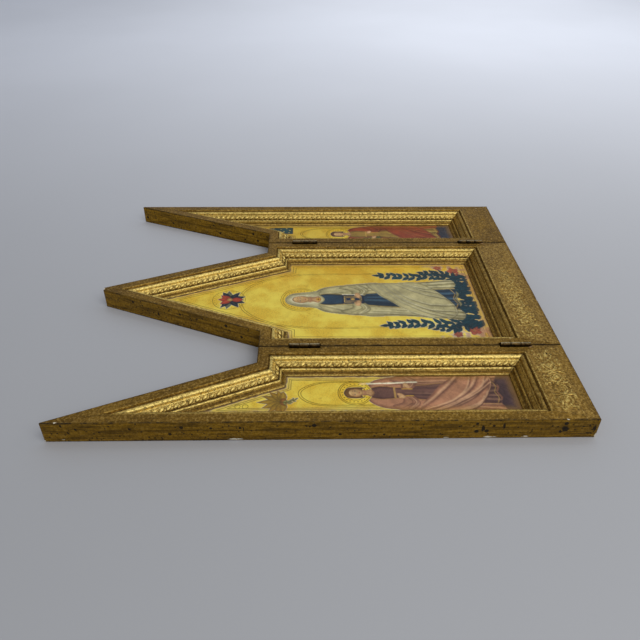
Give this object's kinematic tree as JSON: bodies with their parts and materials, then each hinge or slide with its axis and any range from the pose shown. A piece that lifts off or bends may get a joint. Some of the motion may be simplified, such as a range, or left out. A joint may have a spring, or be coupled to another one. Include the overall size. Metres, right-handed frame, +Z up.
{
  "type": "triptych altarpiece",
  "caption": "Small folding devotional triptych: a gabled centre panel and half-gabled wings with painted pictures in moulded gilt frames, joined by small butt hinges.",
  "frame": {"origin": "on the underside (the backs of the panels), below the middle of the open triptych's length and width", "axes": "+X across the open width to the right wing when the pictures are looked at with the tips up, +Y from the base edge to the gable tips, +Z up out of the painted front"},
  "size_m": [0.3476, 0.4, 0.0209],
  "materials": {
    "gilt_frame": "satin",
    "painted_board": "satin",
    "hinge_brass": "satin"
  },
  "bodies": {
    "centre": {"centre_base_rail": "gilt_frame", "centre_left_stile": "gilt_frame", "centre_right_stile": "gilt_frame", "centre_left_shoulder_rail": "gilt_frame", "centre_right_shoulder_rail": "gilt_frame", "centre_left_gable_rail": "gilt_frame", "centre_right_gable_rail": "gilt_frame", "centre_picture": "painted_board", "left_lower_hinge_centre_leaf": "hinge_brass", "left_lower_hinge_pin": "hinge_brass", "left_upper_hinge_centre_leaf": "hinge_brass", "left_upper_hinge_pin": "hinge_brass", "right_lower_hinge_centre_leaf": "hinge_brass", "right_lower_hinge_pin": "hinge_brass", "right_upper_hinge_centre_leaf": "hinge_brass", "right_upper_hinge_pin": "hinge_brass"},
    "left_wing": {"left_wing_base_rail": "gilt_frame", "left_wing_outer_stile": "gilt_frame", "left_wing_hinge_stile": "gilt_frame", "left_wing_shoulder_rail": "gilt_frame", "left_wing_gable_rail": "gilt_frame", "left_wing_picture": "painted_board", "left_lower_hinge_wing_leaf": "hinge_brass", "left_upper_hinge_wing_leaf": "hinge_brass"},
    "right_wing": {"right_wing_base_rail": "gilt_frame", "right_wing_outer_stile": "gilt_frame", "right_wing_hinge_stile": "gilt_frame", "right_wing_shoulder_rail": "gilt_frame", "right_wing_gable_rail": "gilt_frame", "right_wing_picture": "painted_board", "right_lower_hinge_wing_leaf": "hinge_brass", "right_upper_hinge_wing_leaf": "hinge_brass"}
  },
  "joints": [
    {"name": "left_wing_hinge", "type": "hinge", "parent": "centre", "child": "left_wing", "pos_m": [-0.0874, 0, 0.0191], "axis": [0, 1, 0], "range_deg": [0, 180]},
    {"name": "right_wing_hinge", "type": "hinge", "parent": "centre", "child": "right_wing", "pos_m": [0.0874, 0, 0.0191], "axis": [0, -1, 0], "range_deg": [0, 180]}
  ]
}
